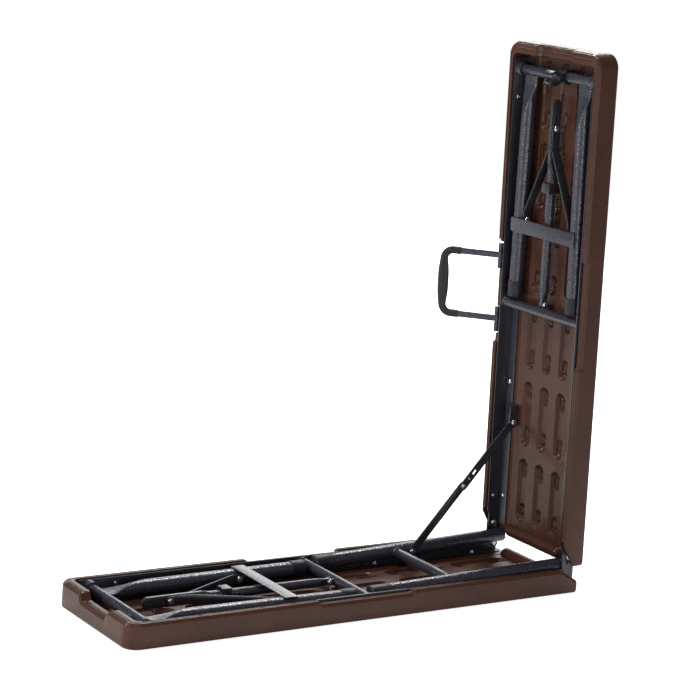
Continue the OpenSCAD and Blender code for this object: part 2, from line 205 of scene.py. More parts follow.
def zinc_plate():
    """Bright zinc with a little tarnish and fine scratches."""
    material, tree, shader = nodes_of("zinc")
    tarnish = texture(tree, "ShaderNodeTexNoise", 260.0, Detail=5.0)
    colour = colour_ramp(tree, tarnish.outputs["Fac"], (0.3, ZINC[0]), (0.7, ZINC[1]))
    tree.links.new(colour, shader.inputs["Base Color"])
    tree.links.new(spread(tree, tarnish.outputs["Fac"], 0.16, 0.34), shader.inputs["Roughness"])
    scratches = texture(tree, "ShaderNodeTexNoise", 2200.0, Detail=2.0)
    tree.links.new(bump(tree, scratches.outputs["Fac"], 0.12, 0.0001), shader.inputs["Normal"])
    shader.inputs["Metallic"].default_value = 1.0
    return material


def black_plastic():
    """Black, finely grained plastic of the end caps and the grip."""
    material, tree, shader = nodes_of("black_plastic")
    drift = texture(tree, "ShaderNodeTexNoise", 60.0, Detail=4.0)
    grain = texture(tree, "ShaderNodeTexNoise", 1300.0, Detail=3.0)
    colour = colour_ramp(tree, drift.outputs["Fac"], (0.3, BLACK[0]), (0.7, BLACK[1]))
    tree.links.new(colour, shader.inputs["Base Color"])
    tree.links.new(spread(tree, grain.outputs["Fac"], 0.38, 0.55), shader.inputs["Roughness"])
    tree.links.new(bump(tree, grain.outputs["Fac"], 0.2, 0.0002), shader.inputs["Normal"])
    shader.inputs["Specular IOR Level"].default_value = 0.3
    return material


def glow_where_seen(tree, socket, seen, cast):
    """One strength where the camera sees the white sweep itself, and another for the light it casts."""
    path = tree.nodes.new("ShaderNodeLightPath")
    tree.links.new(spread(tree, path.outputs["Is Camera Ray"], cast, seen), socket)


def studio_floor():
    material, tree, shader = nodes_of("studio_floor")
    tone = texture(tree, "ShaderNodeTexNoise", 2.0)
    colour = colour_ramp(tree, tone.outputs["Fac"], (0.3, SWEEP[0]), (0.7, SWEEP[1]))
    tree.links.new(colour, shader.inputs["Base Color"])
    shader.inputs["Roughness"].default_value = 0.9
    shader.inputs["Specular IOR Level"].default_value = 0.1
    shader.inputs["Emission Color"].default_value = (1, 1, 1, 1)
    glow_where_seen(tree, shader.inputs["Emission Strength"], seen=0.84, cast=0.24)
    return material


LOOKS = {
    "panel_plastic": moulded_plastic(),
    "steel": painted_steel("hammered_steel", HAMMERED, cells=450.0, dimple_depth=0.0006, rough=0.25),
    "rail_steel": painted_steel("rail_steel", SMOOTH_COAT, cells=500.0, dimple_depth=0.0002, rough=0.27),
    "zinc": zinc_plate(),
    "black_plastic": black_plastic(),
}


# ---------- making pieces ----------
replaced = set()                # CAD nodes that a piece stands for
SAME_POINT = 1e-6               # points closer than this, in metres, become one
CRISP_FROM = math.radians(32)   # edges that turn more than this are kept crisp


def set_shading(mesh):
    """Smooth faces with crisp edges between them."""
    work = bmesh.new()
    work.from_mesh(mesh)
    for face in work.faces:
        face.smooth = True
    for edge in work.edges:
        edge.smooth = len(edge.link_faces) != 2 or edge.calc_face_angle(0) < CRISP_FROM
    work.to_mesh(mesh)
    work.free()


def piece(name, body, points, faces, place, look, stands_for=(), clean=True):
    """A visible piece that rides on a body; clean merges its points and turns its faces out."""
    mesh = bpy.data.meshes.new(name)
    mesh.from_pydata([tuple(p) for p in points], [], faces)
    mesh.transform(place)
    if clean:
        work = bmesh.new()
        work.from_mesh(mesh)
        bmesh.ops.remove_doubles(work, verts=work.verts, dist=SAME_POINT)
        bmesh.ops.recalc_face_normals(work, faces=work.faces)
        work.to_mesh(mesh)
        work.free()
    set_shading(mesh)
    obj = bpy.data.objects.new(name, mesh)
    bpy.context.scene.collection.objects.link(obj)
    mesh.materials.append(LOOKS[look])
    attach(obj, body)
    if stands_for:
        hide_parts(*stands_for)
        replaced.update(stands_for)


def loft(rings, closed_ends=True):
    """Points and faces of a skin over rings with the same number of points."""
    count = len(rings[0])
    points = [p for ring in rings for p in ring]
    faces = []
    for k in range(len(rings) - 1):
        for i in range(count):
            j = (i + 1) % count
            faces.append((k * count + i, k * count + j, (k + 1) * count + j, (k + 1) * count + i))
    if closed_ends:
        faces.append(tuple(reversed(range(count))))
        faces.append(tuple(range((len(rings) - 1) * count, len(rings) * count)))
    return points, faces


def turned_profile(profile, sides=40):
    """Rings of a shape turned about x, from (x, radius) pairs."""
    angles = [2 * math.pi * i / sides for i in range(sides)]
    return [[(x, r * math.cos(a), r * math.sin(a)) for a in angles] for x, r in profile]


def smoothstep(x, low, high):
    """Eases from 0 at low to 1 at high."""
    t = np.clip((np.asarray(x, float) - low) / (high - low), 0, 1)
    return t * t * (3 - 2 * t)


def rounded_bar(angle, across, high, power):
    """A point on an outline with the given half-sizes: an ellipse at power 2, and boxier above it."""
    c, d = math.cos(angle), math.sin(angle)
    return across * math.copysign(abs(c) ** (2 / power), c), high * math.copysign(abs(d) ** (2 / power), d)


def turn_to(direction):
    """The turn that takes x to a direction."""
    return Vector((1, 0, 0)).rotation_difference(direction).to_matrix()


def grid_lines(*spans):
    """Grid lines from (start, end, step) spans."""
    lines = [np.linspace(a, b, max(2, int(round((b - a) / step)) + 1)) for a, b, step in spans]
    return np.unique(np.round(np.concatenate(lines), 4))


# ---------- moulded halves ----------
EDGE = 4.0                          # width of the rounded outer edge
FOLD_RIM, FOLD_SLOPE = 21.0, 40.0   # the rim rises from this height over this length at the fold end
STEP_S, STEP_DROP = (367.0, 552.0), 5.5              # shallow step in the side rims
BRACKET_S, BRACKET_N = ((380.0, 430.0), (500.0, 550.0)), 31.8    # lower rim under the handle's brackets
END_RIM = END_WALL - 20             # the outer end's rim starts here
HAND_NOTCH_Y, HAND_NOTCH_N = (39.0, 52.0), 30.0
RIM_GROOVES = ((6.6, 1.3, 1.0), (10.8, 1.0, 0.9))    # place in from the outline, depth and half-width
GROOVE_COLUMNS = (-47.0, 0.0, 47.0)
GROOVE_ROWS = 6
GROOVE_START, GROOVE_PITCH, GROOVE_LENGTH = 34.0, 146.0, 122.0
GROOVE_SIDES, GROOVE_DEPTH = (9.9, 12.6), 5.2        # half-widths at the floor and at the top, and depth
PIT_SIDES, PIT_DEPTH = (6.8, 9.6), 8.8               # a pit joins the two cups at a groove's end
CUP_SIDES, CUP_DEPTH = (3.0, 6.9), 11.4
CUP_OFFSETS = (11.5, 27.5)          # from a groove's end to the middles of its cups
PEAK_R, PEAK_HEIGHT = 1.9, 2.4      # raised centre of a cup
LUMP_HEIGHT = 0.9                   # of the waves in a pit's floor
WAVES_S, WAVES_Y = (0.95, 1.3), (1.05, 0.6)          # radians a millimetre, and shift: for s, in each row
RECESS_S, RECESS_Y, RECESS_LONG, RECESS_WIDE, RECESS_DEPTH = 813.0, -5.0, 40.0, 32.0, 6.2
RECESS_WALL = (-1.0, 0.8)           # its wall slopes between these distances out from its outline
RIDGE_UP_Y, RIDGE_DOWN_Y, RIDGE_HEIGHT = (70.0, 74.0), (84.0, 86.0), 1.2
BEAD_S, BEAD_N, BEAD_R, BEAD_END_Y = 11.8, 14.8, 11.6, 68.5
GUTTER_Y, GUTTER_N = 108.2, 12.6    # the tray's floor is lower behind the rails
WALL_RISE, WALL_FILLET = (0.1, 2.0), 1.6             # the rims' inner walls rise over these distances
GRID_SAME_POINT = 0.02              # grid points closer than this become one
S_SPANS = ((EDGE, 52, 1.3), (52, 885, 1.9), (885, 899, 0.8), (899, HALF_LENGTH - EDGE, 2.2))
Y_SPANS = ((0, 14, 1.1), (14, 33, 2.1), (33, 61, 1.1), (61, 100, 2.6), (100, 119, 0.7),
           (119, HALF_WIDTH - EDGE, 1.0))
# down the outer wall: distance out from the grid's border, and height from the border or from the seat face
OVER_EDGE = ((0.7, -0.15), (1.4, -0.7), (1.9, -1.6), (2.1, -2.9), (2.5, -3.5), (3.1, -3.9), (3.6, -4.6),
             (3.85, -5.8), (3.95, -7.0))
TO_SEAT = ((4.0, 5.6), (3.8, 3.6), (3.1, 1.8), (2.0, 0.6), (0.6, 0.08), (-1.5, 0.0), (-6.0, 0.0))


def between(x, start, end, outside, inside):
    """1 between start and end, easing to 0 over the given lengths outside and inside each of them."""
    return np.minimum(smoothstep(x, start - outside, start + inside),
                      1 - smoothstep(x, end - inside, end + outside))


def from_corner(past_s, past_y):
    """How far a place is past a corner's centre, as on a rounded rectangle."""
    return np.hypot(np.maximum(past_s, 0), np.maximum(past_y, 0)) + np.minimum(np.maximum(past_s, past_y), 0)


def corner_radius(s):
    """Radius of the half's outline at the corners of either end."""
    return np.where(s > HALF_LENGTH / 2, OUTER_CORNER, FOLD_CORNER)


def distance_in(s, y):
    """Distance in from the half's rounded outline."""
    middle = HALF_LENGTH / 2
    corner = corner_radius(s)
    return corner - from_corner(np.abs(s - middle) - (middle - corner), np.abs(y) - (HALF_WIDTH - corner))


def rim_height(s, y, brackets):
    """Top of the rims, with the side step, the hand notch, two shallow grooves and room for any brackets."""
    height = FOLD_RIM + (RIM - FOLD_RIM) * np.clip(s, 0, FOLD_SLOPE) / FOLD_SLOPE
    height = height - STEP_DROP * between(s, *STEP_S, outside=5, inside=1) * (s < END_RIM)
    if brackets:
        for start, end in BRACKET_S:
            inside = between(s, start, end, outside=1, inside=1.5)
            lowered = height * (1 - inside) + np.minimum(height, BRACKET_N) * inside
            height = np.where(y > 0, lowered, height)
    notch = (1 - smoothstep(np.abs(y), *HAND_NOTCH_Y)) * (s > END_RIM)
    height = height - (RIM - HAND_NOTCH_N) * notch
    into = distance_in(s, y)
    for place, depth, half_width in RIM_GROOVES:
        height = height - depth * np.exp(-((into - place) / half_width) ** 2) * (s > POCKET_S[1])
    return height


def groove_depth(s, y):
    """Long grooves that tie the two walls together, with a lumpy pit of two cups at each end."""
    depth = np.zeros_like(s)
    near_cup, far_cup = CUP_OFFSETS
    for row in range(GROOVE_ROWS):
        start = GROOVE_START + row * GROOVE_PITCH
        end = start + GROOVE_LENGTH
        waves = np.sin(s * WAVES_S[0] + WAVES_S[1] * row) * np.sin(y * WAVES_Y[0] + WAVES_Y[1])
        for column in GROOVE_COLUMNS:
            along = np.clip(s, start + GROOVE_SIDES[1], end - GROOVE_SIDES[1])
            away = np.hypot(s - along, y - column)
            depth = np.maximum(depth, GROOVE_DEPTH * (1 - smoothstep(away, *GROOVE_SIDES)))
            for cups in ((start + near_cup, start + far_cup), (end - far_cup, end - near_cup)):
                away = np.hypot(s - np.clip(s, *cups), y - column)
                pit = 1 - smoothstep(away, *PIT_SIDES)
                depth = np.maximum(depth, PIT_DEPTH * pit) + LUMP_HEIGHT * waves * pit
                for middle in cups:
                    away = np.hypot(s - middle, y - column)
                    depth = np.maximum(depth, CUP_DEPTH * (1 - smoothstep(away, *CUP_SIDES)))
                    depth = depth - PEAK_HEIGHT * np.exp(-(away / PEAK_R) ** 2)
    return depth


def tray_height(s, y, brackets):
    """Height over the seat face of everything inside the outer edge."""
    wall = WALL_Y + (POCKET_Y - WALL_Y) * (1 - smoothstep(s, *POCKET_S))
    past_wall = from_corner(s - (END_WALL - TRAY_CORNER), np.abs(y) - (wall - TRAY_CORNER)) - TRAY_CORNER
    floor = FLOOR - groove_depth(s, y)
    past_recess = np.maximum(np.abs(s - RECESS_S) - RECESS_LONG / 2, np.abs(y - RECESS_Y) - RECESS_WIDE / 2)
    floor = np.minimum(floor, FLOOR - RECESS_DEPTH * (1 - smoothstep(past_recess, *RECESS_WALL)))
    # a low ridge runs along each side of the field of grooves
    ridge = smoothstep(np.abs(y), *RIDGE_UP_Y) * (1 - smoothstep(np.abs(y), *RIDGE_DOWN_Y))
    floor = floor + RIDGE_HEIGHT * ridge
    # a round bead runs across the fold end
    from_bead = np.hypot(s - BEAD_S, np.maximum(np.abs(y) - BEAD_END_Y, 0))
    bead = np.sqrt(np.clip(BEAD_R ** 2 - from_bead ** 2, 0, None))
    floor = np.where(bead > 0, np.maximum(floor, BEAD_N + bead), floor)
    floor = np.where(np.abs(y) > GUTTER_Y, np.minimum(floor, GUTTER_N), floor)
    rise = smoothstep(past_wall, *WALL_RISE)
    fillet = WALL_FILLET * np.exp(np.minimum(past_wall, 0) / WALL_FILLET) * (np.abs(y) < GUTTER_Y)
    return floor + fillet * (1 - rise) + (rim_height(s, y, brackets) - floor) * rise


def surface_grid():
    """Grid places over tray and rims; those past the rounded corners are drawn in to the edge, and marked."""
    # extra lines keep the steps in the side rims sharp
    extra = [v for a, b in (STEP_S, *BRACKET_S) for v in (a - 3, a - 1, a, a + 1, b - 1, b, b + 1, b + 3)]
    s_lines = np.unique(np.concatenate([grid_lines(*S_SPANS), extra]))
    y_half = grid_lines(*Y_SPANS)
    y_lines = np.unique(np.concatenate([-y_half, y_half]))
    s, y = np.meshgrid(s_lines, y_lines, indexing="ij")
    radius = corner_radius(s)
    middle = HALF_LENGTH / 2
    centre_s = middle + np.sign(s - middle) * (middle - radius)
    centre_y = np.sign(y) * (HALF_WIDTH - radius)
    in_corner = (np.abs(s - middle) > middle - radius) & (np.abs(y) > HALF_WIDTH - radius)
    reach = np.hypot(s - centre_s, y - centre_y)
    drawn = in_corner & (reach > radius - EDGE)
    pull = (radius - EDGE) / np.maximum(reach, radius - EDGE)
    s = np.where(drawn, centre_s + (s - centre_s) * pull, s)
    y = np.where(drawn, centre_y + (y - centre_y) * pull, y)
    return s, y, drawn


def border_ring(work):
    """The points of a mesh's open border, in order."""
    follow = {}
    for edge in work.edges:
        if len(edge.link_faces) == 1:
            loop = edge.link_loops[0]
            follow[loop.vert] = loop.link_loop_next.vert
    ring = [next(iter(follow))]
    while follow[ring[-1]] is not ring[0]:
        ring.append(follow[ring[-1]])
    return ring


def outward_at(point):
    """Direction out of the half's rounded outline."""
    r = OUTER_CORNER if point.x > HALF_LENGTH / 2 else FOLD_CORNER
    inner_s = min(max(point.x, r), HALF_LENGTH - r)
    inner_y = min(max(point.y, r - HALF_WIDTH), HALF_WIDTH - r)
    return (point.xy - Vector((inner_s, inner_y))).normalized()


def half_mesh(brackets):
    """Grid over the tray and rims, then the rounded outer edge, the side wall and the flat seat face."""
    s, y, drawn = surface_grid()
    n = tray_height(s, y, brackets)
    rows, columns = s.shape
    work = bmesh.new()
    grid = [[work.verts.new((s[i, j], y[i, j], n[i, j])) for j in range(columns)] for i in range(rows)]
    for i in range(rows - 1):
        for j in range(columns - 1):
            if not drawn[i:i + 2, j:j + 2].all():
                work.faces.new((grid[i][j], grid[i + 1][j], grid[i + 1][j + 1], grid[i][j + 1]))
    bmesh.ops.delete(work, geom=[v for v in work.verts if not v.link_faces], context="VERTS")
    bmesh.ops.remove_doubles(work, verts=work.verts, dist=GRID_SAME_POINT)
    ring = border_ring(work)
    outward = [outward_at(v.co) for v in ring]
    levels = [(out, [v.co.z + drop for v in ring]) for out, drop in OVER_EDGE]
    levels += [(out, [height] * len(ring)) for out, height in TO_SEAT]
    last = ring
    for out, heights in levels:
        new = []
        for v, direction, height in zip(ring, outward, heights):
            new.append(work.verts.new((v.co.x + direction.x * out, v.co.y + direction.y * out, height)))
        for a in range(len(ring)):
            b = (a + 1) % len(ring)
            work.faces.new((last[b], last[a], new[a], new[b]))
        last = new
    work.faces.new(list(reversed(last)))
    bmesh.ops.recalc_face_normals(work, faces=work.faces)
    work.verts.index_update()
    points = [v.co.copy() for v in work.verts]
    faces = [tuple(v.index for v in f.verts) for f in work.faces]
    work.free()
    return points, faces


for half, brackets in (("lower", False), ("upper", True)):
    points, faces = half_mesh(brackets)
    piece(f"{half}_moulding", f"{half}_half", points, faces, HALVES[half], "panel_plastic",
          [f"{half}_panel"], clean=False)


# ---------- end legs ----------
LEG_PIVOT_S, LEG_N = 866.0, 30.0
LEG_PIVOT_Y, LEG_FOOT_Y = 75.0, 82.0
LEG_LENGTH = 410.0
LEG_TURN = math.atan2(LEG_FOOT_Y - LEG_PIVOT_Y, LEG_LENGTH)
LEG_SIDES = 44
LEG_STATIONS = (-LEG_LENGTH + 3, -LEG_LENGTH + 40, -130, *np.linspace(-118, -14, 36), -9)
PRESS_START, PRESS_SKEW, PRESS_END = -82.0, 34.0, -24.0   # the tube flattens between START and END
PRESSED_ACROSS, PRESSED_HIGH, PRESSED_DROP = 17.0, 3.2, 1.5   # half-sizes of the flat end, and its shift
FOOT_WALL = 1.2


def leg_place(half, side):
    """Along the leg from its pivot, on either side of the half's middle."""
    turn = Matrix.Rotation(-side * LEG_TURN, 4, "Z")
    return HALVES[half] @ Matrix.Translation((LEG_PIVOT_S, side * LEG_PIVOT_Y, LEG_N)) @ turn


def leg_rings(crease):
    """Round tube pressed flat where it meets the pivot tube, further up the side that crease points to."""
    rings = []
    for x in LEG_STATIONS:
        ring = []
        for i in range(LEG_SIDES):
            angle = 2 * math.pi * i / LEG_SIDES
            start = PRESS_START - PRESS_SKEW * math.cos(angle) * crease
            flat = float(np.clip((x - start) / (PRESS_END - start), 0, 1))
            flat = 0.35 * flat + 0.65 * float(smoothstep(flat, 0, 1))
            across = LEG_R * (1 - flat) + PRESSED_ACROSS * flat
            high = LEG_R * (1 - flat) + PRESSED_HIGH * flat
            y, z = rounded_bar(angle, across, high, 2 + 2.2 * flat)
            ring.append((x, y, z - PRESSED_DROP * flat))
        rings.append(ring)
    return rings


def foot_rings(length):
    """Plastic ferrule: rolled lip, slightly tapered sleeve, rounded sole."""
    r = LEG_R + FOOT_WALL
    profile = [(length, LEG_R - 0.2), (length, r - 0.4), (length - 0.8, r + 0.25), (length - 3.2, r + 0.25),
               (length - 4.0, r - 0.15), (14, r - 0.05), (6, r), (3, r - 0.1), (1.2, r - 0.8), (0.3, r - 2.2),
               (0, r - 4.5), (0, 0.5)]
    return turned_profile(profile)


for half in HALVES:
    for word, side in (("near", 1 if half == "lower" else -1), ("far", -1 if half == "lower" else 1)):
        points, faces = loft(leg_rings(1 if half == "upper" else -1))
        piece(f"{half}_leg_tube_{word}", f"{half}_leg", points, faces, leg_place(half, side), "steel",
              [f"{half}_leg_{word}"])
        points, faces = loft(foot_rings(FOOT_LENGTH))
        place = leg_place(half, side) @ Matrix.Translation((-LEG_LENGTH, 0, 0))
        piece(f"{half}_ferrule_{word}", f"{half}_leg", points, faces, place, "black_plastic",
              [f"{half}_feet"])


# ---------- centre legs ----------
CENTRE_LENGTH, CENTRE_FOOT = 414.0, 40.0
LINK_LENGTH = (Vector(joints["fold_upper"]["pos_m"]) - Vector(joints["fold_lower"]["pos_m"])).length / MM
CENTRE_Y, CENTRE_FOOT_Y = 94.0, 88.0
CENTRE_LEAN = math.radians(1.13)


def centre_place(side):
    """Up the centre leg from between the hinge bolts."""
    lean = Matrix.Rotation(CENTRE_LEAN, 4, "Y")
    splay = Matrix.Rotation(side * math.atan2(CENTRE_Y - CENTRE_FOOT_Y, CENTRE_LENGTH), 4, "X")
    return CENTRE @ Matrix.Translation((LINK_LENGTH / 2, side * CENTRE_Y, 0)) @ lean @ splay


for word, side in (("near", -1), ("far", 1)):
    points, faces = loft(foot_rings(CENTRE_FOOT))
    stand = Matrix.Translation((0, 0, CENTRE_LENGTH)) @ Matrix.Rotation(math.radians(90), 4, "Y")
    piece(f"centre_ferrule_{word}", "centre_leg", points, faces, centre_place(side) @ stand, "black_plastic",
          ["centre_feet"])


# ---------- heads of bolts, screws and rivets ----------
body_of = {node: body for body, nodes in frame["record"]["behaviour"]["bodies"].items() for node in nodes}
# height and radius up a head, as shares of its own
HEAD_SHAPE = ((-0.02, 1.05), (0.30, 1.05), (0.62, 0.97), (0.92, 0.84), (1.08, 0.66), (1.15, 0.40),
              (1.13, 0.24), (0.98, 0.17), (0.96, 0.02))


def heads(node, place, spots):
    """Domed heads with a dimple over a node's plain ones, from (point, direction, radius, height) spots."""
    points, faces = [], []
    for spot, direction, radius, height in spots:
        turn = turn_to(Vector(direction))
        profile = [(h * height, r * radius) for h, r in HEAD_SHAPE]
        dome_points, dome_faces = loft(turned_profile(profile, sides=28))
        faces += [tuple(i + len(points) for i in face) for face in dome_faces]
        points += [Vector(spot) + turn @ Vector(p) for p in dome_points]
    piece(f"{node}_heads", body_of[node], points, faces, place, "zinc")


def both_sides(*spots):
    """The given spots and their mirror images across y."""
    mirrored = []
    for (s, y, n), (along, across, up), radius, height in spots:
        mirrored.append(((s, -y, n), (along, -across, up), radius, height))
    return [*spots, *mirrored]


INWARD, OUTWARD, UP = (0, -1, 0), (0, 1, 0), (0, 0, 1)
SCREW_S, WEB_SCREW_S = (71, 290, 500, 700, 815), (71, 815)
FLANGE_Y, FLANGE_TOP = 99.0, 16.2     # the rails' flanges on the tray floor
WEB_Y, WEB_SCREW_N = 107.7, 31.0      # the rails' upright webs, on the side that faces the tray
HINGE_END_Y = 112.8
YOKE_S, YOKE_BOLT_Y, YOKE_RIVET_Y = 600.0, 60.3, 5.4
STRUT_S, STRUT_PIN_Y = 457.5, 5.8
# strut and yoke are in line when the leg is upright, so their lengths make up the distance of their far ends
JOINT_S = (STRUT_S + YOKE_S + math.hypot(LEG_PIVOT_S - STRUT_S, LEG_PIVOT_S - YOKE_S)) / 2
STAY_S, STAY_Y, STAY_N = 220.0, 69.1, 24.0
# radius and height of each kind of head
SCREW, WEB_SCREW, HINGE_BOLT, HINGE_END, YOKE_BOLT = (4.6, 2.4), (3.6, 1.9), (6, 3), (5.5, 2.6), (5.5, 2.8)
YOKE_RIVET, STRUT_PIN, STAY_RIVET = (5.5, 2.4), (5, 2.2), (5.5, 2.6)
for half, place in HALVES.items():
    flange = [((s, FLANGE_Y, FLANGE_TOP), UP, *SCREW) for s in SCREW_S]
    web = [((s, WEB_Y, WEB_SCREW_N), INWARD, *WEB_SCREW) for s in WEB_SCREW_S]
    heads(f"{half}_screws", place, both_sides(*flange, *web))
    heads(f"{half}_hinge_bolts", place, both_sides(((HINGE_S, WEB_Y, HINGE_N), INWARD, *HINGE_BOLT),
                                                   ((HINGE_S, HINGE_END_Y, HINGE_N), OUTWARD, *HINGE_END)))
    heads(f"{half}_leg_bolts", place, both_sides(((YOKE_S, YOKE_BOLT_Y, LEG_N), INWARD, *YOKE_BOLT)))
    heads(f"{half}_yoke_rivets", place, both_sides(((JOINT_S, YOKE_RIVET_Y, LEG_N), OUTWARD, *YOKE_RIVET)))
    heads(f"{half}_strut_pin", place, both_sides(((STRUT_S, STRUT_PIN_Y, LEG_N), OUTWARD, *STRUT_PIN)))
heads("stay_lug_rivet", UPPER, [((STAY_S, STAY_Y, STAY_N), INWARD, *STAY_RIVET)])


# ---------- welds ----------
WELD_SIDES = 8
LINE_POINTS = 22


def weld(name, body, place, path, thick, closed=False):
    """A lumpy bead of weld along a path, thinner at its ends unless it closes on itself."""
    path = [Vector(p) for p in path]
    count = len(path)
    rings = []
    for k, spot in enumerate(path):
        has_neighbours = closed or 0 < k < count - 1
        ahead = path[(k + 1) % count] - path[k - 1] if has_neighbours else path[-1] - path[0]
        turn = turn_to(ahead.normalized())
        taper = 1.0 if closed else 0.35 + 0.65 * math.sin(math.pi * (k + 0.5) / count) ** 0.4
        radius = thick * taper * (0.86 + 0.2 * math.sin(k * 2.1) * math.cos(k * 0.7))
        angles = [2 * math.pi * i / WELD_SIDES for i in range(WELD_SIDES)]
        rings.append([spot + turn @ Vector((0, radius * math.cos(a), radius * math.sin(a))) for a in angles])
    if closed:
        rings.append(rings[0])
    points, faces = loft(rings, closed_ends=not closed)
    piece(name, body, points, faces, place, "steel")


def circle(centre, radius, count=36):
    """Points round an axis along y."""
    x, y, z = centre
    angles = [2 * math.pi * i / count for i in range(count)]
    return [(x + radius * math.cos(a), y, z + radius * math.sin(a)) for a in angles]


def line(start, end):
    """Even points from start to end."""
    return [Vector(start).lerp(Vector(end), i / (LINE_POINTS - 1)) for i in range(LINE_POINTS)]


STRAP_S, STRAP_Y, STRAP_N = (576.6, 602.4), (72.5, 86.0), 43.1     # along the strap's two edges
AXLE_S, AXLE_Y, AXLE_N = LEG_PIVOT_S - 9.6, (60.0, 90.0), LEG_N + 2
CROSS_S, CROSS_Y, CROSS_R = 442.0, 103.2, 9.5          # round the fixed cross tubes' ends
for half, place in HALVES.items():
    for word, side in (("left", 1), ("right", -1)):
        for k, s in enumerate(STRAP_S):
            path = line((s, side * STRAP_Y[0], STRAP_N), (s, side * STRAP_Y[1], STRAP_N))
            weld(f"{half}_strap_weld_{word}_{k}", f"{half}_leg", place, path, thick=1.3)
        path = line((AXLE_S, side * AXLE_Y[0], AXLE_N), (AXLE_S, side * AXLE_Y[1], AXLE_N))
        weld(f"{half}_axle_weld_{word}", f"{half}_leg", place, path, thick=1.5)
        path = circle((CROSS_S, side * CROSS_Y, LEG_N), CROSS_R)
        weld(f"{half}_cross_weld_{word}", f"{half}_half", place, path, thick=1.3, closed=True)
CENTRE_CROSS, CENTRE_CROSS_Y, CENTRE_CROSS_R = 240.0, 77.2, 9.4    # up the centre legs
LINK_Y, LINK_WELD_R = 109.3, 6.1
for word, side in (("far", 1), ("near", -1)):
    x = LINK_LENGTH / 2 + math.sin(CENTRE_LEAN) * CENTRE_CROSS
    z = math.cos(CENTRE_LEAN) * CENTRE_CROSS
    path = circle((x, side * CENTRE_CROSS_Y, z), CENTRE_CROSS_R)
    weld(f"centre_cross_weld_{word}", "centre_leg", CENTRE, path, thick=1.4, closed=True)
    path = circle((LINK_LENGTH / 2, side * LINK_Y, 0), LINK_WELD_R, count=24)
    weld(f"centre_link_weld_{word}", "centre_leg", CENTRE, path, thick=1.2, closed=True)


# ---------- handle ----------
HANDLE_Y, HANDLE_N = 121.5, 38.0
HANDLE_S = (407.0, 525.0)
HANDLE_REACH = 106.0
HANDLE_SWING = math.radians(37)
HANDLE_PLACE = UPPER @ Matrix.Translation((0, HANDLE_Y, HANDLE_N)) @ Matrix.Rotation(HANDLE_SWING, 4, "X")
HANDLE_CORNER = 17.0
HANDLE_FOOT = 3.0            # the arms start this far from the swing axis
# in the arms and at the middle of the grip
BAIL_WIDE, BAIL_THICK = (11.5, 12.5), (4.0, 4.6)
GRIP_WIDE, GRIP_THICK = (14.0, 20.0), (6.4, 10.5)
BAR_SIDES = 24
BARREL_LENGTH, BARREL_R, BARREL_BORE = 13.6, 3.9, 2.5


def handle_path():
    """Centre line of the bail in its own plane, from one barrel round the grip to the other."""
    radius = HANDLE_CORNER
    a, b = HANDLE_S
    top = HANDLE_REACH
    quarter = np.linspace(0, math.pi / 2, 10)
    path = [(a, d) for d in np.linspace(HANDLE_FOOT, top - radius, 7)]
    path += [(a + radius * (1 - math.cos(t)), top - radius * (1 - math.sin(t))) for t in quarter[1:]]
    path += [(x, top) for x in np.linspace(a + radius, b - radius, 16)[1:]]
    path += [(b - radius * (1 - math.cos(t)), top - radius * (1 - math.sin(t))) for t in quarter[-2::-1]]
    path += [(b, d) for d in np.linspace(top - radius, HANDLE_FOOT, 7)[1:]]
    return np.array(path)


def bar_rings(path, wide, thick, power):
    """Rings of a bar square to the path; wide and thick are functions of the share of the path's length."""
    rings = []
    steps = np.linalg.norm(np.diff(path, axis=0), axis=1)
    shares = np.concatenate([[0], np.cumsum(steps)]) / steps.sum()
    for k, (x, y) in enumerate(path):
        ahead = path[min(k + 1, len(path) - 1)] - path[max(k - 1, 0)]
        ahead = ahead / np.linalg.norm(ahead)
        square = np.array((-ahead[1], ahead[0]))
        ring = []
        for i in range(BAR_SIDES):
            angle = 2 * math.pi * i / BAR_SIDES
            u, v = rounded_bar(angle, wide(shares[k]) / 2, thick(shares[k]) / 2, power)
            ring.append((x + square[0] * u, y + square[1] * u, v))
        rings.append(ring)
    return rings


def swell(low, high):
    """A size by the share of the bail's length: high at its middle, easing to low in the arms."""
    return lambda share: low + (high - low) * float(between(share, 0.2, 0.8, outside=0, inside=0.22))


def barrel_rings():
    """A short tube round the swing axis, with its ends' edges taken off."""
    edge = 0.4
    profile = [(0, BARREL_BORE), (0, BARREL_R - edge), (edge, BARREL_R), (BARREL_LENGTH - edge, BARREL_R),
               (BARREL_LENGTH, BARREL_R - edge), (BARREL_LENGTH, BARREL_BORE)]
    rings = turned_profile(profile)
    return [*rings, rings[0]]


bail_path = handle_path()
points, faces = loft(bar_rings(bail_path, swell(*BAIL_WIDE), swell(*BAIL_THICK), power=3.4))
piece("handle_bail_bar", "handle", points, faces, HANDLE_PLACE, "steel", ["handle_bail"])
grip_path = bail_path[5:-5]
points, faces = loft(bar_rings(grip_path, swell(*GRIP_WIDE), swell(*GRIP_THICK), power=2.8))
piece("handle_grip_moulding", "handle", points, faces, HANDLE_PLACE, "black_plastic", ["handle_grip"])
for k, s in enumerate(HANDLE_S):
    place = HANDLE_PLACE @ Matrix.Translation((s - BARREL_LENGTH / 2, 0, 0))
    points, faces = loft(barrel_rings(), closed_ends=False)
    piece(f"handle_barrel_{k}", "handle", points, faces, place, "steel")


# ---------- CAD pieces that keep their shape ----------
SOFT_EDGES = {"zinc": 0.5, "steel": 0.45, "black_plastic": 0.9}     # bevel widths in millimetres
SMOOTH_COATED = ("rail", "yoke", "stay", "lock_ring", "brackets", "bushes")
CAD_SAME_POINT = 0.00001
FLAT_WITHIN = math.radians(0.6)
BEVEL_FROM = math.radians(40)


